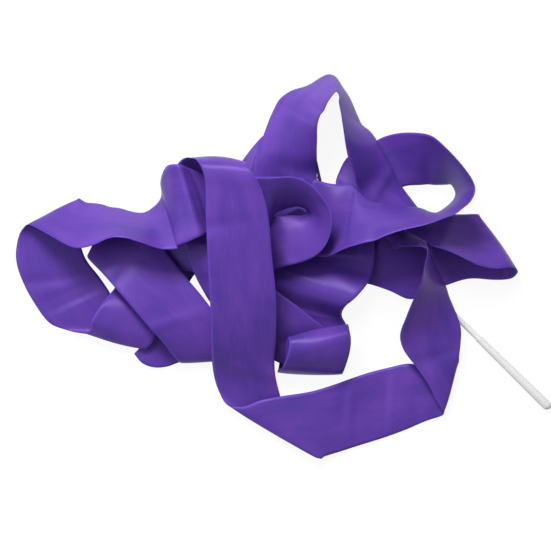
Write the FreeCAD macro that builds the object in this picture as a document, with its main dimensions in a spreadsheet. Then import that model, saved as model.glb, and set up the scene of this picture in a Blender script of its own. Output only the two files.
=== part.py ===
import FreeCAD, Part
import math
import os

# Rhythmic ribbon wand lying on the floor: a slim stick, a swivel link, a snap
# hook through an eyelet, and one long satin ribbon dropped in a loose heap.
# Millimetres, +Z up, the floor at Z = 0.

doc = FreeCAD.newDocument("ribbon_wand")
sheet = doc.addObject("Spreadsheet::Sheet", "Sizes")

SIZES = [
    # ribbon
    ("ribbon_width", 50.0),
    ("ribbon_thickness", 0.6),
    ("tab_inset", 2.0),
    # eyelet
    ("eyelet_bore_radius", 1.6),
    ("eyelet_wall", 0.4),
    ("flange_radius", 3.6),
    ("flange_thickness", 0.5),
    # snap hook
    ("hook_wire_radius", 0.7),
    ("hook_height", 9.0),
    ("hook_length", 13.0),
    ("gate_wire_radius", 0.6),
    ("rivet_radius", 0.4),
    ("cheek_thickness", 0.6),
    ("collar_radius", 2.0),
    ("collar_length", 4.0),
    # swivel link
    ("stem_radius", 0.7),
    ("head_radius", 1.2),
    ("head_length", 1.0),
    ("running_gap", 0.06),
    ("end_wall", 1.0),
    ("eye_radius", 2.2),
    ("eye_wire_radius", 0.6),
    ("link_slack", 0.15),
    # stick
    ("wand_length", 239.0),
    ("tip_radius", 1.9),
    ("core_radius", 2.1),
    ("ferrule_length", 12.0),
    ("ferrule_wall", 0.5),
    ("grip_length", 60.0),
    ("grip_front_radius", 2.5),
    ("cap_length", 12.0),
    ("cap_radius", 3.3),
    ("cap_seat", 6.0),
]

for number, (alias, value) in enumerate(SIZES, start=1):
    sheet.set("A%d" % number, alias)
    sheet.set("B%d" % number, str(value))
    sheet.setAlias("B%d" % number, alias)
doc.recompute()


def size(alias):
    return float(sheet.get(alias))


# The hook, the link and the stick lie on one level line on the floor. It
# starts at the eyelet and runs to the butt, one cap radius above the floor.
EYELET = FreeCAD.Vector(21, 65, 5)
LINE_ANGLE = -44.4
LINE_HEIGHT = size("cap_radius")
ALONG = FreeCAD.Vector(
    math.cos(math.radians(LINE_ANGLE)), math.sin(math.radians(LINE_ANGLE)), 0
)
UP = FreeCAD.Vector(0, 0, 1)
ACROSS = UP.cross(ALONG)
LIE_ALONG = FreeCAD.Rotation(UP, ALONG)
LIE_ACROSS = FreeCAD.Rotation(UP, ACROSS)
STAND = FreeCAD.Rotation(UP, LINE_ANGLE)

# Distances from the eyelet along that line.
GATE_PIVOT = size("hook_length")
PIVOT_BARREL = size("rivet_radius") + size("running_gap") + size("hook_wire_radius") * 0.8
COLLAR_START = GATE_PIVOT + PIVOT_BARREL + 0.9
COLLAR_END = COLLAR_START + size("collar_length")
EYE_REACH = size("eye_radius") + size("eye_wire_radius")
HOOK_EYE = COLLAR_END + 0.4 + EYE_REACH
STICK_EYE = (
    HOOK_EYE + 2 * size("eye_radius") - 2 * size("eye_wire_radius") - size("link_slack")
)
FERRULE_START = STICK_EYE + EYE_REACH + 0.4
FERRULE_END = FERRULE_START + size("ferrule_length")
CAVITY_LENGTH = size("head_length") + 2 * size("running_gap")
SPIGOT_START = FERRULE_START + size("end_wall") + CAVITY_LENGTH
CAP_START = size("wand_length") - size("cap_length")
GRIP_START = CAP_START - size("grip_length")
LOWER_RUN = size("hook_wire_radius") + 0.8
UPPER_RUN = LOWER_RUN + size("hook_height")
PIVOT_HEIGHT = UPPER_RUN - 1.0


def on_line(distance, height=LINE_HEIGHT, sideways=0.0):
    """A point this far from the eyelet towards the butt."""
    base = FreeCAD.Vector(EYELET.x, EYELET.y, height)
    return base + ALONG * distance + ACROSS * sideways


def bind(item, sizes):
    """Tie properties of an object to cells of the sheet."""
    for prop, expression in sizes.items():
        item.setExpression(prop, expression)


def cylinder(name, radius, length, base, turn=LIE_ALONG):
    item = doc.addObject("Part::Cylinder", name)
    bind(item, {"Radius": radius, "Height": length})
    item.Placement = FreeCAD.Placement(base, turn)
    return item


def cone(name, start_radius, end_radius, length, base):
    item = doc.addObject("Part::Cone", name)
    bind(item, {"Radius1": start_radius, "Radius2": end_radius, "Height": length})
    item.Placement = FreeCAD.Placement(base, LIE_ALONG)
    return item


def ring(name, radius, wire, base, turn):
    item = doc.addObject("Part::Torus", name)
    bind(item, {"Radius1": radius, "Radius2": wire})
    item.Placement = FreeCAD.Placement(base, turn)
    return item


def ball(name, radius, base):
    item = doc.addObject("Part::Sphere", name)
    bind(item, {"Radius": radius})
    item.Placement = FreeCAD.Placement(base, LIE_ALONG)
    return item


def join(name, pieces):
    item = doc.addObject("Part::MultiFuse", name)
    item.Shapes = pieces
    return item


def cut(name, base, tool):
    item = doc.addObject("Part::Cut", name)
    item.Base = base
    item.Tool = tool
    return item


PARTS = []


def keep(item, label):
    """Give a finished piece the name of its file."""
    item.Label = label
    PARTS.append(item)
    return item


def rod(name, start, end, radius):
    """A round wire between two points, with its length worked out."""
    item = doc.addObject("Part::Cylinder", name)
    bind(item, {"Radius": radius})
    item.Height = (end - start).Length
    item.Placement = FreeCAD.Placement(start, FreeCAD.Rotation(UP, end - start))
    return item


# ---- ribbon -------------------------------------------------------------

# The ribbon's route, from the eyelet end to the hemmed tail. Each station is a
# line across the ribbon: a point on one selvedge, then one on the other.
RIBBON = [
    ("end", [
        ((32, 42, 5), (21, 91, 5)),
        ((16, 44, 5), (14, 93, 5)),
        ((0, 46, 7), (0, 96, 7)),
        ((-16, 46, 8), (-12, 95, 7)),
        ((-34, 34, 8), (-22, 85, 7)),
        ((-46, 22, 9), (-33, 71, 8)),
    ]),
    ("under_top", [
        ((-52, 16, 11), (-42, 65, 11)),
        ((-54, 14, 14), (-45, 63, 14)),
        ((-50, 12, 16), (-42, 63, 17)),
        ((-30, 11, 16), (-30, 63, 18)),
        ((0, 11, 14), (0, 63, 17)),
    ]),
    ("centre", [
        ((18, 8, 15), (20, 62, 16)),
        ((30, 6, 29), (36, 58, 20)),
        ((41, 11, 42), (48, 59, 21)),
    ]),
    ("shelf", [
        ((50, 14, 50), (56, 50, 26)),
        ((62, 18, 54), (66, 45, 27)),
        ((80, 24, 56), (84, 42, 24)),
        ((98, 28, 57), (98, 41, 18)),
    ]),
    ("right_turn", [
        ((112, 33, 57), (108, 38, 12)),
        ((124, 38, 56), (114, 41, 10)),
        ((132, 48, 54), (121, 47, 9)),
        ((133, 56, 52), (123, 52, 9)),
        ((126, 68, 52), (120, 58, 9)),
    ]),
    ("right_wing", [
        ((114, 82, 50), (117, 58, 8)),
        ((104, 91, 44), (108, 58, 7)),
        ((90, 94, 30), (96, 58, 6)),
        ((74, 93, 14), (86, 57, 5)),
        ((60, 86, 8), (76, 50, 6)),
    ]),
    ("wing_root", [
        ((46, 78, 5), (72, 42, 8)),
        ((40, 67, 5), (70, 33, 9)),
        ((38, 59, 8), (72, 26, 12)),
        ((43, 52, 12), (76, 18, 16)),
        ((60, 46, 12), (78, 13, 19)),
    ]),
    ("descent", [
        ((76, 40, 11), (80, 12, 22)),
        ((88, 32, 10), (85, 13, 31)),
        ((101, 20, 11), (100, 12, 47)),
        ((107, 4, 12), (98, 0, 52)),
        ((113, -8, 11), (96, -10, 48)),
        ((118, -20, 10), (92, -22, 40)),
    ]),
    ("elbow", [
        ((123, -32, 10), (87, -36, 30)),
        ((127, -44, 10), (83, -49, 20)),
        ((127, -56, 10), (86, -60, 15)),
        ((126, -64, 10), (95, -72, 12)),
        ((126, -67, 9), (104, -85, 11)),
        ((126, -69, 8), (110, -97, 9)),
        ((125, -71, 6), (115, -105, 7)),
        ((121, -74, 3), (113, -108, 3)),
    ]),
    ("front", [
        ((108, -75, 2), (104, -111, 2)),
        ((92, -70, 2), (90, -117, 2)),
        ((76, -73, 3), (74, -123, 2)),
        ((60, -77, 4), (58, -128, 2)),
        ((40, -84, 5), (42, -133, 3)),
    ]),
    ("front_fold", [
        ((20, -90, 7), (32, -136, 4)),
        ((0, -93, 9), (29, -137, 5)),
        ((-16, -96, 10), (28, -138, 6)),
        ((-29, -101, 9), (26, -138, 7)),
        ((-39, -100, 7), (20, -135, 5)),
        ((-46, -90, 5), (10, -127, 3)),
    ]),
    ("top_band_low", [
        ((-50, -76, 9), (0, -100, 5)),
        ((-51, -56, 24), (-6, -74, 14)),
        ((-51, -36, 33), (-5, -52, 27)),
    ]),
    ("top_band", [
        ((-52, -12, 41), (-5, -22, 39)),
        ((-53, 12, 47), (-8, 8, 46)),
        ((-54, 34, 50), (-10, 32, 51)),
        ((-54, 54, 53), (-14, 50, 54)),
    ]),
    ("top_roll", [
        ((-56, 66, 54), (-19, 61, 57)),
        ((-60, 73, 50), (-24, 69, 55)),
        ((-66, 76, 39), (-26, 72, 46)),
        ((-73, 74, 28), (-25, 69, 36)),
        ((-77, 66, 21), (-24, 60, 31)),
    ]),
    ("under_band", [
        ((-77, 50, 20), (-24, 44, 29)),
        ((-75, 34, 20), (-24, 28, 28)),
        ((-71, 18, 21), (-22, 12, 28)),
        ((-66, 2, 22), (-17, -2, 27)),
        ((-60, -12, 18), (-10, -11, 24)),
    ]),
    ("strut", [
        ((-50, -28, 13), (-3, -19, 18)),
        ((-34, -46, 12), (8, -27, 16)),
        ((-18, -60, 10), (22, -38, 12)),
        ((-6, -68, 8), (36, -48, 8)),
        ((3, -71, 6), (45, -52, 6)),
    ]),
    ("loop_rise", [
        ((2, -67, 10), (47, -50, 10)),
        ((2, -58, 15), (47, -44, 15)),
        ((3, -51, 20), (46, -41, 20)),
    ]),
    ("loop_top", [
        ((4, -52, 26), (47, -46, 25)),
        ((4, -58, 28), (48, -53, 27)),
        ((2, -66, 25), (47, -62, 25)),
        ((-1, -73, 17), (44, -73, 17)),
        ((-4, -76, 8), (42, -78, 9)),
        ((-3, -72, 2), (42, -75, 2)),
    ]),
    ("loop_floor", [
        ((-1, -54, 1), (44, -58, 1)),
        ((1, -36, 1), (46, -44, 1)),
    ]),
    ("pillow", [
        ((-9, -22, 3), (42, -36, 8)),
        ((-11, -13, 8), (44, -29, 18)),
        ((-11, -4, 9), (51, -23, 22)),
        ((-4, 5, 8), (58, -15, 20)),
        ((8, 10, 8), (63, -7, 15)),
    ]),
    ("pillow_end", [
        ((18, 9, 9), (66, 8, 13)),
        ((20, 14, 7), (65, 25, 11)),
        ((22, 12, 3), (68, 24, 8)),
        ((31, 1, 2), (68, 32, 8)),
    ]),
    ("under_shelf", [
        ((43, -9, 4), (70, 35, 8)),
        ((62, -13, 7), (82, 30, 7)),
        ((77, -18, 8), (92, 26, 6)),
        ((91, -24, 8), (103, 22, 6)),
    ]),
    ("wing_low", [
        ((104, -19, 7), (114, 28, 8)),
        ((117, -14, 4), (124, 32, 4)),
        ((134, -9, 2), (132, 35, 2)),
        ((152, -10, 2), (138, 36, 2)),
        ((164, -9, 4), (140, 37, 3)),
        ((168, -4, 10), (141, 37, 6)),
    ]),
    ("wing_high", [
        ((162, -1, 19), (139, 37, 9)),
        ((152, -2, 24), (134, 37, 9)),
        ((140, 0, 29), (128, 37, 9)),
        ((128, 5, 33), (120, 37, 9)),
        ((118, 10, 35), (112, 37, 8)),
        ((106, 15, 36), (104, 37, 7)),
    ]),
    ("climb", [
        ((92, 22, 26), (98, 40, 9)),
        ((76, 30, 25), (92, 48, 9)),
        ((62, 40, 22), (84, 58, 10)),
        ((54, 52, 25), (78, 68, 13)),
        ((50, 64, 36), (72, 80, 15)),
    ]),
    ("peak_right", [
        ((45, 78, 45), (65, 93, 14)),
        ((42, 98, 50), (55, 105, 8)),
        ((39, 114, 50), (48, 120, 5)),
    ]),
    ("peak", [
        ((39, 118, 50), (42, 129, 4)),
        ((37, 121, 50), (37, 136, 4)),
        ((34, 118, 50), (31, 137, 4)),
        ((29, 111, 48), (18, 130, 4)),
        ((26, 105, 46), (4, 125, 5)),
    ]),
    ("peak_left", [
        ((24, 96, 41), (-7, 112, 6)),
        ((24, 87, 34), (-13, 97, 11)),
        ((24, 76, 26), (-17, 82, 13)),
        ((24, 66, 16), (-20, 68, 12)),
        ((24, 56, 13), (-20, 56, 12)),
    ]),
    ("descent_left", [
        ((26, 43, 11), (-18, 43, 12)),
        ((24, 28, 5), (-24, 24, 6)),
        ((10, 7, 1), (-34, 29, 2)),
        ((-14, 0, 1), (-44, 38, 1)),
    ]),
    ("floor_left", [
        ((-36, 2, 1), (-62, 42, 1)),
        ((-52, 4, 1), (-82, 36, 1)),
        ((-62, -4, 1), (-96, 26, 1)),
        ((-69, -14, 2), (-106, 12, 2)),
    ]),
    ("left_flap", [
        ((-76, -24, 5), (-118, -12, 7)),
        ((-84, -36, 9), (-130, -28, 15)),
        ((-91, -50, 11), (-137, -40, 15)),
        ((-97, -59, 8), (-138, -46, 10)),
        ((-102, -59, 5), (-146, -48, 5)),
    ]),
    ("left_face_low", [
        ((-112, -42, 1), (-156, -46, 1)),
        ((-124, -20, 1), (-168, -41, 1)),
        ((-132, -8, 1), (-178, -28, 1)),
        ((-142, 5, 1), (-187, -12, 1)),
    ]),
    ("left_face", [
        ((-146, 18, 1), (-192, 4, 1)),
        ((-146, 34, 1), (-191, 18, 2)),
        ((-147, 45, 2), (-187, 27, 6)),
    ]),
    ("left_rim", [
        ((-147, 48, 4), (-182, 30, 12)),
        ((-146, 48, 4), (-166, 22, 24)),
        ((-142, 46, 5), (-148, 13, 34)),
        ((-134, 45, 7), (-134, 14, 41)),
    ]),
    ("saddle", [
        ((-120, 42, 9), (-118, 20, 46)),
        ((-101, 38, 9), (-100, 17, 46)),
        ((-91, 44, 9), (-86, 12, 42)),
        ((-87, 50, 12), (-74, 12, 42)),
    ]),
    ("ridge", [
        ((-87, 60, 22), (-74, 14, 42)),
        ((-82, 70, 34), (-66, 17, 44)),
        ((-73, 71, 43), (-57, 21, 44)),
        ((-64, 68, 33), (-51, 22, 33)),
    ]),
    ("under_roll", [
        ((-48, 63, 32), (-44, 17, 29)),
        ((-32, 63, 40), (-30, 16, 30)),
        ((-16, 62, 45), (-14, 22, 27)),
    ]),
    ("rim_far", [
        ((-4, 62, 49), (-6, 37, 23)),
        ((8, 62, 51), (1, 40, 20)),
        ((21, 55, 52), (7, 42, 18)),
        ((30, 43, 52), (12, 42, 17)),
    ]),
    ("rim_near", [
        ((34, 30, 50), (16, 40, 18)),
        ((31, 17, 44), (16, 37, 20)),
        ((24, 8, 37), (12, 36, 22)),
        ((14, 3, 30), (5, 36, 23)),
        ((3, 0, 25), (-2, 35, 23)),
    ]),
    ("under_centre", [
        ((-8, -3, 19), (-9, 37, 20)),
        ((-24, -4, 19), (-28, 42, 21)),
        ((-42, -4, 18), (-44, 42, 20)),
        ((-56, -4, 15), (-56, 42, 18)),
        ((-66, -4, 10), (-66, 42, 11)),
        ((-76, -2, 7), (-76, 42, 7)),
    ]),
    ("under_saddle", [
        ((-90, 0, 5), (-90, 39, 5)),
        ((-110, 2, 5), (-108, 38, 3)),
        ((-128, 4, 5), (-118, 39, 3)),
        ((-140, 8, 7), (-122, 38, 5)),
    ]),
    ("sash_high", [
        ((-139, 5, 11), (-112, 35, 8)),
        ((-129, -5, 16), (-94, 24, 12)),
        ((-118, -17, 20), (-82, 8, 15)),
        ((-104, -33, 22), (-70, -7, 17)),
        ((-93, -46, 21), (-58, -21, 19)),
    ]),
    ("sash_low", [
        ((-85, -55, 18), (-48, -34, 20)),
        ((-78, -65, 12), (-38, -46, 17)),
        ((-74, -69, 8), (-30, -57, 13)),
        ((-72, -70, 4), (-25, -65, 7)),
        ((-75, -69, 2), (-26, -62, 2)),
    ]),
    ("tail", [
        ((-82, -72, 1), (-38, -48, 2)),
        ((-92, -73, 2), (-50, -38, 2)),
        ((-101, -70, 3), (-64, -34, 2)),
        ((-107, -63, 3), (-74, -28, 2)),
    ]),
]

STEPS = 3
MIDDLE = size("ribbon_thickness") / 2


def to_width(station):
    """Keep the first selvedge and slide the second to the ribbon's width."""
    first = FreeCAD.Vector(*station[0])
    second = FreeCAD.Vector(*station[1])
    return first, first + (second - first) * (size("ribbon_width") / 50.0)


def slope(before, here, after):
    """The direction of travel along one selvedge at a station."""
    reach = (here - before).Length + (after - here).Length
    return (after - before) * (1.0 / max(reach, 0.001))


def smooth(points):
    """Points along one selvedge, with STEPS steps between stations."""
    last = len(points) - 1
    slopes = []
    for index, here in enumerate(points):
        before = points[max(index - 1, 0)]
        after = points[min(index + 1, last)]
        slopes.append(slope(before, here, after))
    route = []
    for index in range(last):
        start = points[index]
        end = points[index + 1]
        reach = (end - start).Length
        for step in range(STEPS):
            t = step / STEPS
            blend = t * t * (3 - 2 * t)
            leave = t * (1 - t) * (1 - t) * reach
            arrive = t * t * (t - 1) * reach
            point = start * (1 - blend) + end * blend
            route.append(point + slopes[index] * leave + slopes[index + 1] * arrive)
    route.append(points[last])
    return route


def facing(first, second):
    """The ribbon's face direction at every point of one selvedge."""
    last = len(first) - 1
    directions = []
    for index in range(last + 1):
        ahead = first[min(index + 1, last)] + second[min(index + 1, last)]
        behind = first[max(index - 1, 0)] + second[max(index - 1, 0)]
        face = (second[index] - first[index]).cross(ahead - behind)
        directions.append(face.normalize())
    return directions


def triangle(a, b, c):
    return Part.Face(Part.makePolygon([a, b, c, a]))


def signed_volume(shape):
    """The volume inside the shape's own skin, negative where it is inside out."""
    corners, triangles = shape.tessellate(0.1)
    total = 0.0
    for a, b, c in triangles:
        total += corners[a].dot(corners[b].cross(corners[c])) / 6
    return total


def band(here, after, side):
    """Two triangles of one side. The upper face is split along the same
    diagonal as the lower one, so that a twisted run keeps its thickness."""
    turn = (side + 1) % 4
    if side == 2:
        return [
            triangle(here[side], after[side], after[turn]),
            triangle(here[side], after[turn], here[turn]),
        ]
    return [
        triangle(here[side], after[side], here[turn]),
        triangle(here[turn], after[side], after[turn]),
    ]


def strip(first, second, faces, low, high):
    """A thin closed solid between two offsets from the ribbon's middle."""
    rings = []
    for a, b, face in zip(first, second, faces):
        rings.append([a + face * low, b + face * low, b + face * high, a + face * high])
    front = rings[0]
    back = rings[-1]
    skin = [
        triangle(front[0], front[1], front[2]),
        triangle(front[0], front[2], front[3]),
        triangle(back[0], back[2], back[1]),
        triangle(back[0], back[3], back[2]),
    ]
    for here, after in zip(rings, rings[1:]):
        for side in range(4):
            skin += band(here, after, side)
    closed = Part.Solid(Part.Shell(skin))
    if signed_volume(closed) < 0:
        closed.reverse()
    return closed


def solid(label, shape):
    item = doc.addObject("Part::Feature", label)
    item.Shape = shape
    return keep(item, label)


stations = [to_width(station) for name, leg in RIBBON for station in leg]
first_edge = smooth([station[0] for station in stations])
second_edge = smooth([station[1] for station in stations])
ribbon_faces = facing(first_edge, second_edge)
for index in range(STEPS + 1):
    ribbon_faces[index] = UP
    first_edge[index].z = EYELET.z
    second_edge[index].z = EYELET.z

barrel_radius = size("eyelet_bore_radius") + size("eyelet_wall")
punch = Part.makeCylinder(barrel_radius, 10, EYELET - UP * 5, UP)

start = 0
for name, leg in RIBBON:
    end = min(start + len(leg) * STEPS, len(first_edge) - 1)
    piece = strip(
        first_edge[start:end + 1], second_edge[start:end + 1],
        ribbon_faces[start:end + 1], -MIDDLE, MIDDLE,
    )
    if name == "end":
        piece = piece.cut(punch)
    solid("ribbon_" + name, piece)
    start = end


def end_layer(near, far):
    """A second layer stitched on the ribbon's first run, in from its selvedges."""
    inset = size("tab_inset") / size("ribbon_width")
    first = []
    second = []
    for index in range(STEPS + 1):
        across = second_edge[index] - first_edge[index]
        first.append(first_edge[index] + across * inset)
        second.append(second_edge[index] - across * inset)
    return strip(first, second, ribbon_faces[:STEPS + 1], near, far)


tab = end_layer(MIDDLE, MIDDLE + size("ribbon_thickness"))
solid("end_tab", tab.cut(punch))


# ---- eyelet -------------------------------------------------------------

def eyelet():
    top = EYELET.z + MIDDLE + size("ribbon_thickness")
    bottom = EYELET.z - MIDDLE
    foot = FreeCAD.Vector(EYELET.x, EYELET.y, bottom - size("flange_thickness"))
    barrel = cylinder("barrel_outside", "Sizes.eyelet_bore_radius + Sizes.eyelet_wall",
                      "2 * Sizes.flange_thickness + 2 * Sizes.ribbon_thickness", foot, STAND)
    flange = cylinder("flange_disc", "Sizes.flange_radius", "Sizes.flange_thickness",
                      FreeCAD.Vector(EYELET.x, EYELET.y, top), STAND)
    bore = cylinder("eyelet_bore", "Sizes.eyelet_bore_radius",
                    "4 * Sizes.flange_thickness + 2 * Sizes.ribbon_thickness",
                    foot - UP * size("flange_thickness"), STAND)
    body = join("eyelet_body", [barrel, flange])
    keep(cut("eyelet_cut", body, bore), "eyelet")
    disc = cylinder("washer_disc", "Sizes.flange_radius", "Sizes.flange_thickness", foot, STAND)
    hole = cylinder("washer_hole", "Sizes.eyelet_bore_radius + Sizes.eyelet_wall",
                    "2 * Sizes.flange_thickness", foot - UP * 0.1, STAND)
    keep(cut("washer_cut", disc, hole), "eyelet_washer")


eyelet()


# ---- snap hook ----------------------------------------------------------

def snap_hook():
    wire = "Sizes.hook_wire_radius"
    turn_radius = size("hook_height") / 2
    middle = (LOWER_RUN + UPPER_RUN) / 2
    low_front = on_line(turn_radius, LOWER_RUN)
    low_back = on_line(COLLAR_START - 1.5, LOWER_RUN)
    lip = on_line(turn_radius + 1.0, UPPER_RUN)
    lower = rod("lower_run", low_front, low_back, wire)
    heel = rod("heel", low_back, on_line(COLLAR_START + 0.6), wire)
    heel_ball = ball("heel_ball", wire, low_back)
    nose = ring("nose_ring", "Sizes.hook_height / 2", wire,
                on_line(turn_radius, middle), LIE_ACROSS)
    keeper = doc.addObject("Part::Box", "nose_half")
    keeper.Length = turn_radius + 2
    keeper.Width = 4
    keeper.Height = size("hook_height") + 4
    keeper.Placement = FreeCAD.Placement(on_line(-2, LOWER_RUN - 2, -2), STAND)
    bend = doc.addObject("Part::Common", "nose_bend")
    bend.Base = nose
    bend.Tool = keeper
    upper = rod("upper_lip", on_line(turn_radius, UPPER_RUN), lip, wire)
    riser = doc.addObject("Part::Box", "riser_block")
    riser.Length = 1.2
    riser.Width = 2 * (size("gate_wire_radius") + 0.2 + size("cheek_thickness"))
    riser.Height = PIVOT_HEIGHT + PIVOT_BARREL - LINE_HEIGHT
    riser.Placement = FreeCAD.Placement(
        on_line(GATE_PIVOT + PIVOT_BARREL + 0.2, LINE_HEIGHT, -riser.Width.Value / 2), STAND)
    cheeks = []
    for side in (-1, 1):
        cheek = doc.addObject("Part::Box", "cheek")
        cheek.Length = 2 * PIVOT_BARREL + 0.4
        cheek.Width = size("cheek_thickness")
        cheek.Height = 2 * PIVOT_BARREL
        inner = size("gate_wire_radius") + 0.2
        shift = inner if side > 0 else -inner - size("cheek_thickness")
        cheek.Placement = FreeCAD.Placement(
            on_line(GATE_PIVOT - PIVOT_BARREL, PIVOT_HEIGHT - PIVOT_BARREL, shift), STAND)
        cheeks.append(cheek)
    collar = cylinder("collar_outside", "Sizes.collar_radius", "Sizes.collar_length",
                      on_line(COLLAR_START))
    cavity = cylinder("collar_cavity", "Sizes.head_radius + Sizes.running_gap",
                      "Sizes.head_length + 2 * Sizes.running_gap",
                      on_line(COLLAR_END - size("end_wall") - CAVITY_LENGTH))
    bore = cylinder("collar_bore", "Sizes.stem_radius + Sizes.running_gap",
                    "2 * Sizes.end_wall", on_line(COLLAR_END - size("end_wall") * 1.5))
    outside = join("hook_outside", [collar, lower, heel, heel_ball, bend, upper, riser] + cheeks)
    rivet_hole = cylinder("rivet_hole", "Sizes.rivet_radius", "8",
                          on_line(GATE_PIVOT, PIVOT_HEIGHT, -4), LIE_ACROSS)
    inside = join("hook_inside", [cavity, bore, rivet_hole])
    keep(cut("hook_cut", outside, inside), "snap_hook")
    reach = size("gate_wire_radius") + 0.2 + size("cheek_thickness") + 0.2
    rivet = cylinder("rivet_body", "Sizes.rivet_radius",
                     "2 * (Sizes.gate_wire_radius + Sizes.cheek_thickness + 0.4)",
                     on_line(GATE_PIVOT, PIVOT_HEIGHT, -reach), LIE_ACROSS)
    keep(rivet, "gate_rivet")
    gate(turn_radius + 1.9)


def gate(tip_distance):
    wire = "Sizes.gate_wire_radius - 0.06"
    tip = on_line(tip_distance, UPPER_RUN - 0.3)
    pivot = on_line(GATE_PIVOT, PIVOT_HEIGHT)
    root = pivot + (tip - pivot).normalize() * (PIVOT_BARREL - 0.3)
    arm = rod("gate_arm", root, tip, wire)
    tip_ball = ball("gate_tip", wire, tip)
    hub = doc.addObject("Part::Cylinder", "gate_hub")
    hub.Radius = PIVOT_BARREL
    bind(hub, {"Height": "2 * Sizes.gate_wire_radius"})
    hub.Placement = FreeCAD.Placement(
        on_line(GATE_PIVOT, PIVOT_HEIGHT, -size("gate_wire_radius")), LIE_ACROSS)
    bore = cylinder("gate_bore", "Sizes.rivet_radius + Sizes.running_gap", "8",
                    on_line(GATE_PIVOT, PIVOT_HEIGHT, -4), LIE_ACROSS)
    keep(cut("gate_cut", join("gate_solid", [arm, tip_ball, hub]), bore), "snap_gate")


snap_hook()


# ---- swivel link --------------------------------------------------------

def link_eye(label, centre, flat, head_start, stem_start, stem_end):
    """A wire eye on a short stem, with a round head that keeps it in place."""
    turn = FreeCAD.Rotation() if flat else LIE_ACROSS
    eye = ring(label + "_ring", "Sizes.eye_radius", "Sizes.eye_wire_radius",
               on_line(centre), turn)
    stem = rod(label + "_stem", on_line(stem_start), on_line(stem_end), "Sizes.stem_radius")
    head = cylinder(label + "_head", "Sizes.head_radius", "Sizes.head_length",
                    on_line(head_start))
    keep(join(label + "_joined", [eye, stem, head]), label)


hook_head = COLLAR_END - size("end_wall") - size("running_gap") - size("head_length")
link_eye("swivel_eye", HOOK_EYE, False, hook_head, hook_head + 0.2,
         HOOK_EYE - size("eye_radius"))
stick_head = FERRULE_START + size("end_wall") + size("running_gap")
link_eye("stick_eye", STICK_EYE, True, stick_head,
         STICK_EYE + size("eye_radius"), stick_head + 0.2)


# ---- stick --------------------------------------------------------------

def ferrule():
    outside = cylinder("ferrule_outside", "Sizes.tip_radius + Sizes.ferrule_wall",
                       "Sizes.ferrule_length", on_line(FERRULE_START))
    bore = cylinder("ferrule_bore", "Sizes.stem_radius + Sizes.running_gap",
                    "2 * Sizes.end_wall", on_line(FERRULE_START - size("end_wall") / 2))
    cavity = cylinder("ferrule_cavity", "Sizes.head_radius + Sizes.running_gap",
                      "Sizes.head_length + 2 * Sizes.running_gap",
                      on_line(FERRULE_START + size("end_wall")))
    seat = cylinder("ferrule_seat", "Sizes.tip_radius", "Sizes.ferrule_length",
                    on_line(SPIGOT_START))
    keep(cut("ferrule_cut", outside, join("ferrule_inside", [bore, cavity, seat])),
         "stick_ferrule")


def shaft():
    spigot = rod("shaft_spigot", on_line(SPIGOT_START), on_line(FERRULE_END), "Sizes.tip_radius")
    taper = doc.addObject("Part::Cone", "shaft_taper")
    bind(taper, {"Radius1": "Sizes.tip_radius", "Radius2": "Sizes.core_radius"})
    taper.Height = GRIP_START - FERRULE_END
    taper.Placement = FreeCAD.Placement(on_line(FERRULE_END), LIE_ALONG)
    core = cylinder("shaft_core", "Sizes.core_radius", "Sizes.grip_length + Sizes.cap_seat",
                    on_line(GRIP_START))
    keep(join("shaft_joined", [spigot, taper, core]), "stick_shaft")


def grip():
    outside = cone("grip_outside", "Sizes.grip_front_radius", "Sizes.cap_radius",
                   "Sizes.grip_length", on_line(GRIP_START))
    inside = cylinder("grip_bore", "Sizes.core_radius", "Sizes.grip_length + 2",
                      on_line(GRIP_START - 1))
    keep(cut("grip_cut", outside, inside), "grip_sleeve")


def cap():
    outside = cylinder("cap_outside", "Sizes.cap_radius", "Sizes.cap_length - Sizes.cap_radius",
                       on_line(CAP_START))
    dome = ball("cap_dome", "Sizes.cap_radius", on_line(size("wand_length") - size("cap_radius")))
    seat = cylinder("cap_seat_bore", "Sizes.core_radius", "Sizes.cap_seat + 1",
                    on_line(CAP_START - 1))
    keep(cut("cap_cut", join("cap_solid", [outside, dome]), seat), "butt_cap")


ferrule()
shaft()
grip()
cap()


# ---- build and write ----------------------------------------------------

doc.recompute()
for item in doc.Objects:
    if "Error" in item.State or "Invalid" in item.State:
        raise RuntimeError("not built: " + item.Label)
for item in PARTS:
    if item.Shape.isNull() or not item.Shape.isValid():
        raise RuntimeError("bad shape: " + item.Label)
os.makedirs("parts", exist_ok=True)
for item in PARTS:
    item.Shape.exportStep("parts/%s.step" % item.Label)
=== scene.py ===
import math

import bpy
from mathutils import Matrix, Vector


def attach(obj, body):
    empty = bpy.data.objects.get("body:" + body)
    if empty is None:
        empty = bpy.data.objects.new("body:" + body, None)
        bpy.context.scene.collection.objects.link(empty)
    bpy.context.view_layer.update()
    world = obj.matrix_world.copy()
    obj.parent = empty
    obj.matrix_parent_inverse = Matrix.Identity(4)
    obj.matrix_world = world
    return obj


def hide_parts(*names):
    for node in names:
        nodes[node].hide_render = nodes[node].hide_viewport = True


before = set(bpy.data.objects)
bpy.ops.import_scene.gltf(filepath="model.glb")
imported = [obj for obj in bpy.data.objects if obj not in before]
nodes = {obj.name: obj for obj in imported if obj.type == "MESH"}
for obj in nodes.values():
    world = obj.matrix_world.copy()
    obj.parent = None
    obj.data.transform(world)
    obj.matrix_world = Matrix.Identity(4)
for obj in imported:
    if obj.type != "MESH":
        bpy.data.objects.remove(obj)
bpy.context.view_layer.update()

MM = 0.001


# ---- sizes ---------------------------------------------------------------

RIBBON_WIDTH = 50 * MM
CLOTH_THICKNESS = 0.22 * MM
ROWS_PER_STATION = 7
COLUMNS = 20
FLOOR_GAP = 0.2 * MM

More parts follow.
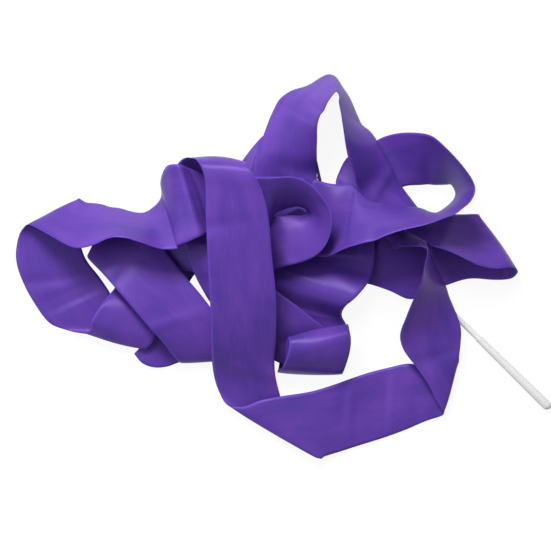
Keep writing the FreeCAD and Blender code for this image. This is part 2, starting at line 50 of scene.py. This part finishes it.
# The ribbon's route in millimetres, from the eyelet end to the hemmed tail.
# Each line is one station: a point on one selvedge and one on the other.
RIBBON_ROUTE = [
    # end
    ((32, 42, 5), (21, 91, 5)),
    ((16, 44, 5), (14, 93, 5)),
    ((0, 46, 7), (0, 96, 7)),
    ((-16, 46, 8), (-12, 95, 7)),
    ((-34, 34, 8), (-22, 85, 7)),
    ((-46, 22, 9), (-33, 71, 8)),
    # under top
    ((-52, 16, 11), (-42, 65, 11)),
    ((-54, 14, 14), (-45, 63, 14)),
    ((-50, 12, 16), (-42, 63, 17)),
    ((-30, 11, 16), (-30, 63, 18)),
    ((0, 11, 14), (0, 63, 17)),
    # centre
    ((18, 8, 15), (20, 62, 16)),
    ((30, 6, 29), (36, 58, 20)),
    ((41, 11, 42), (48, 59, 21)),
    # shelf
    ((50, 14, 50), (56, 50, 26)),
    ((62, 18, 54), (66, 45, 27)),
    ((80, 24, 56), (84, 42, 24)),
    ((98, 28, 57), (98, 41, 18)),
    # right turn
    ((112, 33, 57), (108, 38, 12)),
    ((124, 38, 56), (114, 41, 10)),
    ((132, 48, 54), (121, 47, 9)),
    ((133, 56, 52), (123, 52, 9)),
    ((126, 68, 52), (120, 58, 9)),
    # right wing
    ((114, 82, 50), (117, 58, 8)),
    ((104, 91, 44), (108, 58, 7)),
    ((90, 94, 30), (96, 58, 6)),
    ((74, 93, 14), (86, 57, 5)),
    ((60, 86, 8), (76, 50, 6)),
    # wing root
    ((46, 78, 5), (72, 42, 8)),
    ((40, 67, 5), (70, 33, 9)),
    ((38, 59, 8), (72, 26, 12)),
    ((43, 52, 12), (76, 18, 16)),
    ((60, 46, 12), (78, 13, 19)),
    # descent
    ((76, 40, 11), (80, 12, 22)),
    ((88, 32, 10), (85, 13, 31)),
    ((101, 20, 11), (100, 12, 47)),
    ((107, 4, 12), (98, 0, 52)),
    ((113, -8, 11), (96, -10, 48)),
    ((118, -20, 10), (92, -22, 40)),
    # elbow
    ((123, -32, 10), (87, -36, 30)),
    ((127, -44, 10), (83, -49, 20)),
    ((127, -56, 10), (86, -60, 15)),
    ((126, -64, 10), (95, -72, 12)),
    ((126, -67, 9), (104, -85, 11)),
    ((126, -69, 8), (110, -97, 9)),
    ((125, -71, 6), (115, -105, 7)),
    ((121, -74, 3), (113, -108, 3)),
    # front
    ((108, -75, 2), (104, -111, 2)),
    ((92, -70, 2), (90, -117, 2)),
    ((76, -73, 3), (74, -123, 2)),
    ((60, -77, 4), (58, -128, 2)),
    ((40, -84, 5), (42, -133, 3)),
    # front fold
    ((20, -90, 7), (32, -136, 4)),
    ((0, -93, 9), (29, -137, 5)),
    ((-16, -96, 10), (28, -138, 6)),
    ((-29, -101, 9), (26, -138, 7)),
    ((-39, -100, 7), (20, -135, 5)),
    ((-46, -90, 5), (10, -127, 3)),
    # top band low
    ((-50, -76, 9), (0, -100, 5)),
    ((-51, -56, 24), (-6, -74, 14)),
    ((-51, -36, 33), (-5, -52, 27)),
    # top band
    ((-52, -12, 41), (-5, -22, 39)),
    ((-53, 12, 47), (-8, 8, 46)),
    ((-54, 34, 50), (-10, 32, 51)),
    ((-54, 54, 53), (-14, 50, 54)),
    # top roll
    ((-56, 66, 54), (-19, 61, 57)),
    ((-60, 73, 50), (-24, 69, 55)),
    ((-66, 76, 39), (-26, 72, 46)),
    ((-73, 74, 28), (-25, 69, 36)),
    ((-77, 66, 21), (-24, 60, 31)),
    # under band
    ((-77, 50, 20), (-24, 44, 29)),
    ((-75, 34, 20), (-24, 28, 28)),
    ((-71, 18, 21), (-22, 12, 28)),
    ((-66, 2, 22), (-17, -2, 27)),
    ((-60, -12, 18), (-10, -11, 24)),
    # strut
    ((-50, -28, 13), (-3, -19, 18)),
    ((-34, -46, 12), (8, -27, 16)),
    ((-18, -60, 10), (22, -38, 12)),
    ((-6, -68, 8), (36, -48, 8)),
    ((3, -71, 6), (45, -52, 6)),
    # loop rise
    ((2, -67, 10), (47, -50, 10)),
    ((2, -58, 15), (47, -44, 15)),
    ((3, -51, 20), (46, -41, 20)),
    # loop top
    ((4, -52, 26), (47, -46, 25)),
    ((4, -58, 28), (48, -53, 27)),
    ((2, -66, 25), (47, -62, 25)),
    ((-1, -73, 17), (44, -73, 17)),
    ((-4, -76, 8), (42, -78, 9)),
    ((-3, -72, 2), (42, -75, 2)),
    # loop floor
    ((-1, -54, 1), (44, -58, 1)),
    ((1, -36, 1), (46, -44, 1)),
    # pillow
    ((-9, -22, 3), (42, -36, 8)),
    ((-11, -13, 8), (44, -29, 18)),
    ((-11, -4, 9), (51, -23, 22)),
    ((-4, 5, 8), (58, -15, 20)),
    ((8, 10, 8), (63, -7, 15)),
    # pillow end
    ((18, 9, 9), (66, 8, 13)),
    ((20, 14, 7), (65, 25, 11)),
    ((22, 12, 3), (68, 24, 8)),
    ((31, 1, 2), (68, 32, 8)),
    # under shelf
    ((43, -9, 4), (70, 35, 8)),
    ((62, -13, 7), (82, 30, 7)),
    ((77, -18, 8), (92, 26, 6)),
    ((91, -24, 8), (103, 22, 6)),
    # wing low
    ((104, -19, 7), (114, 28, 8)),
    ((117, -14, 4), (124, 32, 4)),
    ((134, -9, 2), (132, 35, 2)),
    ((152, -10, 2), (138, 36, 2)),
    ((164, -9, 4), (140, 37, 3)),
    ((168, -4, 10), (141, 37, 6)),
    # wing high
    ((162, -1, 19), (139, 37, 9)),
    ((152, -2, 24), (134, 37, 9)),
    ((140, 0, 29), (128, 37, 9)),
    ((128, 5, 33), (120, 37, 9)),
    ((118, 10, 35), (112, 37, 8)),
    ((106, 15, 36), (104, 37, 7)),
    # climb
    ((92, 22, 26), (98, 40, 9)),
    ((76, 30, 25), (92, 48, 9)),
    ((62, 40, 22), (84, 58, 10)),
    ((54, 52, 25), (78, 68, 13)),
    ((50, 64, 36), (72, 80, 15)),
    # peak right
    ((45, 78, 45), (65, 93, 14)),
    ((42, 98, 50), (55, 105, 8)),
    ((39, 114, 50), (48, 120, 5)),
    # peak
    ((39, 118, 50), (42, 129, 4)),
    ((37, 121, 50), (37, 136, 4)),
    ((34, 118, 50), (31, 137, 4)),
    ((29, 111, 48), (18, 130, 4)),
    ((26, 105, 46), (4, 125, 5)),
    # peak left
    ((24, 96, 41), (-7, 112, 6)),
    ((24, 87, 34), (-13, 97, 11)),
    ((24, 76, 26), (-17, 82, 13)),
    ((24, 66, 16), (-20, 68, 12)),
    ((24, 56, 13), (-20, 56, 12)),
    # descent left
    ((26, 43, 11), (-18, 43, 12)),
    ((24, 28, 5), (-24, 24, 6)),
    ((10, 7, 1), (-34, 29, 2)),
    ((-14, 0, 1), (-44, 38, 1)),
    # floor left
    ((-36, 2, 1), (-62, 42, 1)),
    ((-52, 4, 1), (-82, 36, 1)),
    ((-62, -4, 1), (-96, 26, 1)),
    ((-69, -14, 2), (-106, 12, 2)),
    # left flap
    ((-76, -24, 5), (-118, -12, 7)),
    ((-84, -36, 9), (-130, -28, 15)),
    ((-91, -50, 11), (-137, -40, 15)),
    ((-97, -59, 8), (-138, -46, 10)),
    ((-102, -59, 5), (-146, -48, 5)),
    # left face low
    ((-112, -42, 1), (-156, -46, 1)),
    ((-124, -20, 1), (-168, -41, 1)),
    ((-132, -8, 1), (-178, -28, 1)),
    ((-142, 5, 1), (-187, -12, 1)),
    # left face
    ((-146, 18, 1), (-192, 4, 1)),
    ((-146, 34, 1), (-191, 18, 2)),
    ((-147, 45, 2), (-187, 27, 6)),
    # left rim
    ((-147, 48, 4), (-182, 30, 12)),
    ((-146, 48, 4), (-166, 22, 24)),
    ((-142, 46, 5), (-148, 13, 34)),
    ((-134, 45, 7), (-134, 14, 41)),
    # saddle
    ((-120, 42, 9), (-118, 20, 46)),
    ((-101, 38, 9), (-100, 17, 46)),
    ((-91, 44, 9), (-86, 12, 42)),
    ((-87, 50, 12), (-74, 12, 42)),
    # ridge
    ((-87, 60, 22), (-74, 14, 42)),
    ((-82, 70, 34), (-66, 17, 44)),
    ((-73, 71, 43), (-57, 21, 44)),
    ((-64, 68, 33), (-51, 22, 33)),
    # under roll
    ((-48, 63, 32), (-44, 17, 29)),
    ((-32, 63, 40), (-30, 16, 30)),
    ((-16, 62, 45), (-14, 22, 27)),
    # rim far
    ((-4, 62, 49), (-6, 37, 23)),
    ((8, 62, 51), (1, 40, 20)),
    ((21, 55, 52), (7, 42, 18)),
    ((30, 43, 52), (12, 42, 17)),
    # rim near
    ((34, 30, 50), (16, 40, 18)),
    ((31, 17, 44), (16, 37, 20)),
    ((24, 8, 37), (12, 36, 22)),
    ((14, 3, 30), (5, 36, 23)),
    ((3, 0, 25), (-2, 35, 23)),
    # under centre
    ((-8, -3, 19), (-9, 37, 20)),
    ((-24, -4, 19), (-28, 42, 21)),
    ((-42, -4, 18), (-44, 42, 20)),
    ((-56, -4, 15), (-56, 42, 18)),
    ((-66, -4, 10), (-66, 42, 11)),
    ((-76, -2, 7), (-76, 42, 7)),
    # under saddle
    ((-90, 0, 5), (-90, 39, 5)),
    ((-110, 2, 5), (-108, 38, 3)),
    ((-128, 4, 5), (-118, 39, 3)),
    ((-140, 8, 7), (-122, 38, 5)),
    # sash high
    ((-139, 5, 11), (-112, 35, 8)),
    ((-129, -5, 16), (-94, 24, 12)),
    ((-118, -17, 20), (-82, 8, 15)),
    ((-104, -33, 22), (-70, -7, 17)),
    ((-93, -46, 21), (-58, -21, 19)),
    # sash low
    ((-85, -55, 18), (-48, -34, 20)),
    ((-78, -65, 12), (-38, -46, 17)),
    ((-74, -69, 8), (-30, -57, 13)),
    ((-72, -70, 4), (-25, -65, 7)),
    ((-75, -69, 2), (-26, -62, 2)),
    # tail
    ((-82, -72, 1), (-38, -48, 2)),
    ((-92, -73, 2), (-50, -38, 2)),
    ((-101, -70, 3), (-64, -34, 2)),
    ((-107, -63, 3), (-74, -28, 2)),
]


# ---- colour and node helpers ---------------------------------------------

def colour(hex_code):
    """An sRGB hex colour as linear red, green, blue and alpha."""
    channels = []
    for start in (0, 2, 4):
        value = int(hex_code[start:start + 2], 16) / 255
        linear = value / 12.92 if value <= 0.04045 else ((value + 0.055) / 1.055) ** 2.4
        channels.append(linear)
    return (*channels, 1.0)


def add_node(tree, kind, settings=None, links=None):
    """Add one node, set its sockets and properties, and link its inputs."""
    node = tree.nodes.new(kind)
    for name, value in (settings or {}).items():
        if name in node.inputs:
            node.inputs[name].default_value = value
        else:
            setattr(node, name, value)
    for name, source in (links or {}).items():
        tree.links.new(source, node.inputs[name])
    return node


def new_material(name):
    """An empty node material with its output node."""
    material = bpy.data.materials.new(name)
    material.use_nodes = True
    material.node_tree.nodes.clear()
    output = add_node(material.node_tree, "ShaderNodeOutputMaterial")
    return material, material.node_tree, output


def ramp(tree, source, stops):
    """A colour ramp with its stops given as position and colour."""
    node = add_node(tree, "ShaderNodeValToRGB", links={"Fac": source})
    while len(node.color_ramp.elements) < len(stops):
        node.color_ramp.elements.new(0.5)
    for element, (position, tint) in zip(node.color_ramp.elements, stops):
        element.position = position
        element.color = tint
    return node


# ---- materials -----------------------------------------------------------

# Real warp threads lie about 0.1 mm apart. They are drawn five times coarser,
# because finer lines wouldn't show.
THREAD_MM = 0.5
THREAD_STRETCH = 0.03
SHADE_MM = 26.0
SHADE_STRETCH = 0.4
SELVEDGE_HIGHLIGHT_START_MM = 23.3
SELVEDGE_HIGHLIGHT_FULL_MM = 23.9


def polyester_satin():
    """Polyester satin ribbon, woven with floating warp threads along its length:
    broad soft highlights that run along the ribbon, fine thread lines, and a
    denser selvedge on both edges, coloured slightly lighter as a painted
    highlight line along the edges."""
    material, tree, output = new_material("polyester_satin")
    place = add_node(tree, "ShaderNodeUVMap", {"uv_map": "ribbon_mm"})
    axes = add_node(tree, "ShaderNodeSeparateXYZ", links={"Vector": place.outputs["UV"]})
    # Threads: noise squeezed across the ribbon and drawn out along it.
    stretch = add_node(
        tree, "ShaderNodeMapping", {"Scale": (1 / THREAD_MM, THREAD_STRETCH / THREAD_MM, 1)},
        {"Vector": place.outputs["UV"]},
    )
    threads = add_node(
        tree, "ShaderNodeTexNoise", {"Scale": 1.0, "Detail": 2.0, "Roughness": 0.6},
        {"Vector": stretch.outputs["Vector"]},
    )
    # Shade: slow changes between a bluer and a redder violet, a couple of
    # centimetres wide and drawn out along the ribbon.
    broad = add_node(
        tree, "ShaderNodeMapping", {"Scale": (1 / SHADE_MM, SHADE_STRETCH / SHADE_MM, 1)},
        {"Vector": place.outputs["UV"]},
    )
    patches = add_node(
        tree, "ShaderNodeTexNoise", {"Scale": 1.0, "Detail": 3.0, "Roughness": 0.55},
        {"Vector": broad.outputs["Vector"]},
    )
    shade = ramp(
        tree, patches.outputs["Fac"],
        [(0.32, colour("4B348A")), (0.5, colour("573893")), (0.68, colour("613E9B"))],
    )
    fine = add_node(
        tree, "ShaderNodeMix", {"data_type": "RGBA", "blend_type": "MULTIPLY"},
    )
    fine.inputs["Factor"].default_value = 0.35
    line = ramp(tree, threads.outputs["Fac"], [(0.3, colour("B4A6C4")), (0.7, colour("FFFFFF"))])
    tree.links.new(shade.outputs["Color"], fine.inputs[6])
    tree.links.new(line.outputs["Color"], fine.inputs[7])
    # Selvedge: the last millimetre and a half each side of the width, a denser woven edge whose
    # lighter colour is a painted highlight line.
    from_middle = add_node(
        tree, "ShaderNodeMath", {"operation": "ABSOLUTE"}, {0: axes.outputs["X"]}
    )
    edge = add_node(
        tree, "ShaderNodeMapRange",
        {
            "From Min": SELVEDGE_HIGHLIGHT_START_MM, "From Max": SELVEDGE_HIGHLIGHT_FULL_MM,
            "To Min": 0.0, "To Max": 1.0,
        },
        {"Value": from_middle.outputs["Value"]},
    )
    edge_highlighted = add_node(tree, "ShaderNodeMix", {"data_type": "RGBA"})
    tree.links.new(edge.outputs["Result"], edge_highlighted.inputs["Factor"])
    tree.links.new(fine.outputs[2], edge_highlighted.inputs[6])
    # Painted highlight: this lighter violet stands in for the thin light line along the ribbon's
    # edges.
    edge_highlighted.inputs[7].default_value = colour("5A3AA2")
    bump = add_node(
        tree, "ShaderNodeBump", {"Strength": 0.25, "Distance": 0.05 * MM},
        {"Height": threads.outputs["Fac"]},
    )
    roughness = add_node(
        tree, "ShaderNodeMapRange", {"To Min": 0.34, "To Max": 0.46},
        {"Value": patches.outputs["Fac"]},
    )
    tangent = add_node(
        tree, "ShaderNodeTangent", {"direction_type": "UV_MAP", "uv_map": "ribbon_mm"}
    )
    satin = add_node(
        tree, "ShaderNodeBsdfPrincipled",
        {
            "IOR": 1.38, "Specular IOR Level": 0.4, "Anisotropic": 0.6,
            "Sheen Weight": 0.05, "Sheen Roughness": 0.4,
            "Sheen Tint": colour("9C84DC"), "Specular Tint": colour("D8C4FF"),
        },
        {
            "Base Color": edge_highlighted.outputs[2], "Roughness": roughness.outputs["Result"],
            "Normal": bump.outputs["Normal"], "Tangent": tangent.outputs["Tangent"],
        },
    )
    tree.links.new(satin.outputs["BSDF"], output.inputs["Surface"])
    return material


def folded_satin():
    """The same cloth folded double under the eyelet, on a node that has no
    lengthwise axis of its own: thread lines follow the object's axes."""
    material, tree, output = new_material("polyester_satin_tab")
    place = add_node(tree, "ShaderNodeTexCoord")
    stretch = add_node(
        tree, "ShaderNodeMapping",
        {"Scale": (THREAD_STRETCH / (THREAD_MM * MM), 1 / (THREAD_MM * MM), 1)},
        {"Vector": place.outputs["Object"]},
    )
    threads = add_node(
        tree, "ShaderNodeTexNoise", {"Scale": 1.0, "Detail": 2.0, "Roughness": 0.6},
        {"Vector": stretch.outputs["Vector"]},
    )
    tone = ramp(tree, threads.outputs["Fac"], [(0.3, colour("472A80")), (0.7, colour("5F3BA0"))])
    bump = add_node(
        tree, "ShaderNodeBump", {"Strength": 0.25, "Distance": 0.05 * MM},
        {"Height": threads.outputs["Fac"]},
    )
    cloth = add_node(
        tree, "ShaderNodeBsdfPrincipled",
        {"Roughness": 0.46, "Sheen Weight": 0.35, "Sheen Tint": colour("9A8AE0")},
        {"Base Color": tone.outputs["Color"], "Normal": bump.outputs["Normal"]},
    )
    tree.links.new(cloth.outputs["BSDF"], output.inputs["Surface"])
    return material


def moulded_plastic(name, main, shade, roughness, grain_mm):
    """Injection-moulded plastic: an even colour with a very fine orange peel."""
    material, tree, output = new_material(name)
    place = add_node(tree, "ShaderNodeTexCoord")
    grain = add_node(
        tree, "ShaderNodeTexNoise", {"Scale": 1 / (grain_mm * MM), "Detail": 2.0},
        {"Vector": place.outputs["Object"]},
    )
    tone = ramp(tree, grain.outputs["Fac"], [(0.35, colour(shade)), (0.65, colour(main))])
    bump = add_node(
        tree, "ShaderNodeBump", {"Strength": 0.05, "Distance": 0.02 * MM},
        {"Height": grain.outputs["Fac"]},
    )
    plastic = add_node(
        tree, "ShaderNodeBsdfPrincipled",
        {"Roughness": roughness, "IOR": 1.46},
        {"Base Color": tone.outputs["Color"], "Normal": bump.outputs["Normal"]},
    )
    tree.links.new(plastic.outputs["BSDF"], output.inputs["Surface"])
    return material


def turned_metal(name, main, shade, roughness, line_mm):
    """Metal with fine marks left by turning or drawing, brighter on their crests."""
    material, tree, output = new_material(name)
    place = add_node(tree, "ShaderNodeTexCoord")
    marks = add_node(
        tree, "ShaderNodeTexNoise", {"Scale": 1 / (line_mm * MM), "Detail": 3.0},
        {"Vector": place.outputs["Object"]},
    )
    tone = ramp(tree, marks.outputs["Fac"], [(0.3, colour(shade)), (0.7, colour(main))])
    rough = add_node(
        tree, "ShaderNodeMapRange", {"To Min": roughness * 0.8, "To Max": roughness * 1.3},
        {"Value": marks.outputs["Fac"]},
    )
    metal = add_node(
        tree, "ShaderNodeBsdfPrincipled", {"Metallic": 1.0},
        {"Base Color": tone.outputs["Color"], "Roughness": rough.outputs["Result"]},
    )
    tree.links.new(metal.outputs["BSDF"], output.inputs["Surface"])
    return material


def show_as(material, *names):
    """Give carried-over nodes their finish."""
    for name in names:
        mesh = nodes[name].data
        mesh.materials.clear()
        mesh.materials.append(material)


satin = polyester_satin()
white_rod = moulded_plastic("fibreglass_gelcoat", "DEDED8", "D6D6D0", 0.35, 0.8)
white_grip = moulded_plastic("soft_moulded_sleeve", "DCDCD6", "D2D2CC", 0.5, 0.5)
white_cap = moulded_plastic("moulded_end_cap", "DADAD4", "D0D0CA", 0.5, 0.5)
nickel = turned_metal("nickel_plated_steel", "D9D9D6", "CFCFCC", 0.16, 0.6)
steel = turned_metal("drawn_steel_wire", "C2C4C8", "B4B6BB", 0.28, 0.4)
aluminium = turned_metal("turned_aluminium", "DADCE0", "CDCFD4", 0.32, 0.35)

show_as(white_rod, "stick_shaft")
show_as(white_grip, "grip_sleeve")
show_as(white_cap, "butt_cap")
show_as(nickel, "snap_hook", "snap_gate", "gate_rivet", "eyelet", "eyelet_washer")
show_as(steel, "swivel_eye", "stick_eye")
show_as(aluminium, "stick_ferrule")
for name in ("stick_shaft", "grip_sleeve", "butt_cap", "stick_ferrule", "snap_hook"):
    nodes[name].data.shade_smooth()


# ---- ribbon --------------------------------------------------------------

def selvedge(side):
    """The stations' points on one edge of the ribbon, in metres."""
    return [Vector(station[side]) * MM for station in RIBBON_ROUTE]


def slopes(points):
    """The direction of travel at every station of one selvedge."""
    last = len(points) - 1
    result = []
    for index, here in enumerate(points):
        before = points[max(index - 1, 0)]
        after = points[min(index + 1, last)]
        reach = (here - before).length + (after - here).length
        result.append((after - before) / max(reach, 1e-6))
    return result


def smooth(points, rows):
    """A smooth line through the stations of one selvedge."""
    headings = slopes(points)
    line = []
    for index in range(len(points) - 1):
        start, end = points[index], points[index + 1]
        reach = (end - start).length
        for step in range(rows):
            t = step / rows
            blend = t * t * (3 - 2 * t)
            leave = t * (1 - t) ** 2 * reach
            arrive = t * t * (t - 1) * reach
            line.append(
                start.lerp(end, blend) + headings[index] * leave + headings[index + 1] * arrive
            )
    line.append(points[-1])
    return line


def relax(line, passes):
    """Even out small kinks left between neighbouring stations."""
    for _ in range(passes):
        line = [line[0]] + [
            (a + b * 2 + c) / 4 for a, b, c in zip(line, line[1:], line[2:])
        ] + [line[-1]]
    return line


ROLL_HEIGHT_MM = 0.34
PULL_HEIGHT_MM = 0.16
EDGE_HEIGHT_MM = 0.28
CREASE_PITCH_MM = 54.0
CREASE_HALF_WIDTH_MM = 4.5
CREASE_HEIGHT_MM = 1.15
CREASE_SKEW_MM = 7
HIGHEST_BOW = 1.1 * MM
CALM_LENGTH_MM = 25
RELAX_PASSES = 2


def ripple(along, across):
    """Height of the cloth's small waves, in metres: a slow roll along the
    ribbon, finer pulls that fade towards the middle, and a wavy selvedge."""
    roll = math.sin(along / 31 + 1.7 * across) * math.sin(along / 83 + 0.6)
    pull = math.sin(along / 11.3 + 4.1 * across + 2 * math.sin(along / 47))
    edge = math.sin(along / 7.1 + 3 * math.sin(along / 29)) * abs(across) ** 5
    # Soft creases across the ribbon, each a little askew.
    turn = along / CREASE_PITCH_MM
    skew = CREASE_SKEW_MM * across * math.sin(3.1 * round(turn))
    reach = ((turn - round(turn)) * CREASE_PITCH_MM + skew) / CREASE_HALF_WIDTH_MM
    crease = math.exp(-reach * reach) * math.sin(2.3 * round(turn) + across)
    waves = ROLL_HEIGHT_MM * roll + EDGE_HEIGHT_MM * edge
    waves += PULL_HEIGHT_MM * pull * (0.4 + 0.6 * across * across)
    return (waves + CREASE_HEIGHT_MM * crease) * MM


def build_ribbon():
    """One continuous sheet from the eyelet end to the tail, with cloth waves."""
    first = relax(smooth(selvedge(0), ROWS_PER_STATION), RELAX_PASSES)
    second = relax(smooth(selvedge(1), ROWS_PER_STATION), RELAX_PASSES)
    rows = len(first)
    middles = [(a + b) / 2 for a, b in zip(first, second)]
    points, places = [], []
    along = 0.0
    for row in range(rows):
        if row:
            along += (middles[row] - middles[row - 1]).length / MM
        ahead, behind = middles[min(row + 1, rows - 1)], middles[max(row - 1, 0)]
        width = second[row] - first[row]
        face = width.cross(ahead - behind).normalized()
        if face.length < 0.5:
            face = Vector((0, 0, 1))
        slack = max(RIBBON_WIDTH - width.length, 0)
        # A shallow arc's rise for the cloth that the straight width leaves over.
        bow = min(math.sqrt(0.375 * width.length * slack), HIGHEST_BOW)
        lift = 1 if face.z >= 0 else -1
        calm = min(along / CALM_LENGTH_MM, 1)
        for column in range(COLUMNS + 1):
            across = 2 * column / COLUMNS - 1
            point = first[row] + width * (column / COLUMNS)
            point += face * lift * bow * (1 - across * across) * calm
            point += face * ripple(along, across) * calm
            point.z = max(point.z, FLOOR_GAP)
            points.append(point)
            places.append((across * RIBBON_WIDTH / 2 / MM, along))
    faces = []
    for row in range(rows - 1):
        for column in range(COLUMNS):
            corner = row * (COLUMNS + 1) + column
            faces.append((corner, corner + 1, corner + COLUMNS + 2, corner + COLUMNS + 1))
    mesh = bpy.data.meshes.new("satin_ribbon")
    mesh.from_pydata(points, [], faces)
    layer = mesh.uv_layers.new(name="ribbon_mm")
    for loop in mesh.loops:
        layer.data[loop.index].uv = places[loop.vertex_index]
    mesh.shade_smooth()
    mesh.materials.append(satin)
    ribbon = bpy.data.objects.new("satin_ribbon", mesh)
    bpy.context.scene.collection.objects.link(ribbon)
    thicken = ribbon.modifiers.new("cloth_thickness", "SOLIDIFY")
    thicken.thickness = CLOTH_THICKNESS
    thicken.offset = 0
    return ribbon


ribbon = build_ribbon()
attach(ribbon, "ribbon_and_hook")
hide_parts(*[name for name in nodes if name.startswith("ribbon_")])
show_as(folded_satin(), "end_tab")


# ---- floor, light and camera ---------------------------------------------

FLOOR_HALF = 3.0
FLOOR_WHITE = 0.92


def white_seen(tree, amount):
    """How far a surface shows as plain white to the camera and in reflections."""
    path = add_node(tree, "ShaderNodeLightPath")
    glossy = add_node(
        tree, "ShaderNodeMath", {"operation": "MAXIMUM"},
        {0: path.outputs["Is Camera Ray"], 1: path.outputs["Is Glossy Ray"]},
    )
    seen = add_node(
        tree, "ShaderNodeMath", {"operation": "MAXIMUM"},
        {0: glossy.outputs["Value"], 1: path.outputs["Is Transmission Ray"]},
    )
    scaled = add_node(
        tree, "ShaderNodeMath", {"operation": "MULTIPLY"},
        {0: seen.outputs["Value"]},
    )
    scaled.inputs[1].default_value = amount
    return scaled.outputs["Value"]


def build_floor():
    """A plain pale floor that shows white and keeps a soft shadow."""
    mesh = bpy.data.meshes.new("floor")
    size = FLOOR_HALF
    corners = [(-size, -size, 0), (size, -size, 0), (size, size, 0), (-size, size, 0)]
    mesh.from_pydata(corners, [], [(0, 1, 2, 3)])
    floor = bpy.data.objects.new("floor", mesh)
    bpy.context.scene.collection.objects.link(floor)
    material, tree, output = new_material("white_paper_floor")
    paper = add_node(tree, "ShaderNodeBsdfDiffuse", {"Color": colour("F7F7F7")})
    white = add_node(tree, "ShaderNodeEmission", {"Color": colour("FFFFFF"), "Strength": 1.0})
    seen = white_seen(tree, FLOOR_WHITE)
    mix = add_node(tree, "ShaderNodeMixShader", links={0: seen})
    tree.links.new(paper.outputs["BSDF"], mix.inputs[1])
    tree.links.new(white.outputs["Emission"], mix.inputs[2])
    tree.links.new(mix.outputs["Shader"], output.inputs["Surface"])
    mesh.materials.append(material)


def build_world():
    """An even grey-white room that shows as white behind everything."""
    world = bpy.data.worlds.new("studio")
    bpy.context.scene.world = world
    world.use_nodes = True
    tree = world.node_tree
    tree.nodes.clear()
    output = add_node(tree, "ShaderNodeOutputWorld")
    room = add_node(tree, "ShaderNodeBackground", {"Color": colour("EFF1FF"), "Strength": 0.36})
    white = add_node(tree, "ShaderNodeBackground", {"Color": colour("FFFFFF"), "Strength": 1.0})
    mix = add_node(tree, "ShaderNodeMixShader", links={0: white_seen(tree, 1.0)})
    tree.links.new(room.outputs["Background"], mix.inputs[1])
    tree.links.new(white.outputs["Background"], mix.inputs[2])
    tree.links.new(mix.outputs["Shader"], output.inputs["Surface"])


def add_softbox(name, place, width, power, tint):
    """A square studio lamp aimed at the middle of the heap."""
    lamp = bpy.data.lights.new(name, "AREA")
    lamp.size = width
    lamp.energy = power
    lamp.color = colour(tint)[:3]
    holder = bpy.data.objects.new(name, lamp)
    holder.location = place
    holder.rotation_euler = (-Vector(place)).to_track_quat("-Z", "Y").to_euler()
    bpy.context.scene.collection.objects.link(holder)


SENSOR_WIDTH_MM = 36
LENS_MM = 136.1
CAMERA_PLACE_MM = (-5.4, -6.8, 1500)


def build_camera():
    """Straight above the heap, a long way up, a little left of its middle."""
    lens = bpy.data.cameras.new("camera")
    lens.sensor_width = SENSOR_WIDTH_MM
    lens.lens = LENS_MM
    camera = bpy.data.objects.new("camera", lens)
    camera.location = Vector(CAMERA_PLACE_MM) * MM
    bpy.context.scene.collection.objects.link(camera)
    bpy.context.scene.camera = camera


build_floor()
build_world()
add_softbox("key_softbox", (-0.25, 0.85, 1.0), 0.45, 20, "FFFFFF")
add_softbox("fill_softbox", (-0.9, 0.2, 1.2), 0.9, 7, "EEF0FF")
build_camera()
bpy.context.scene.view_settings.view_transform = "Standard"
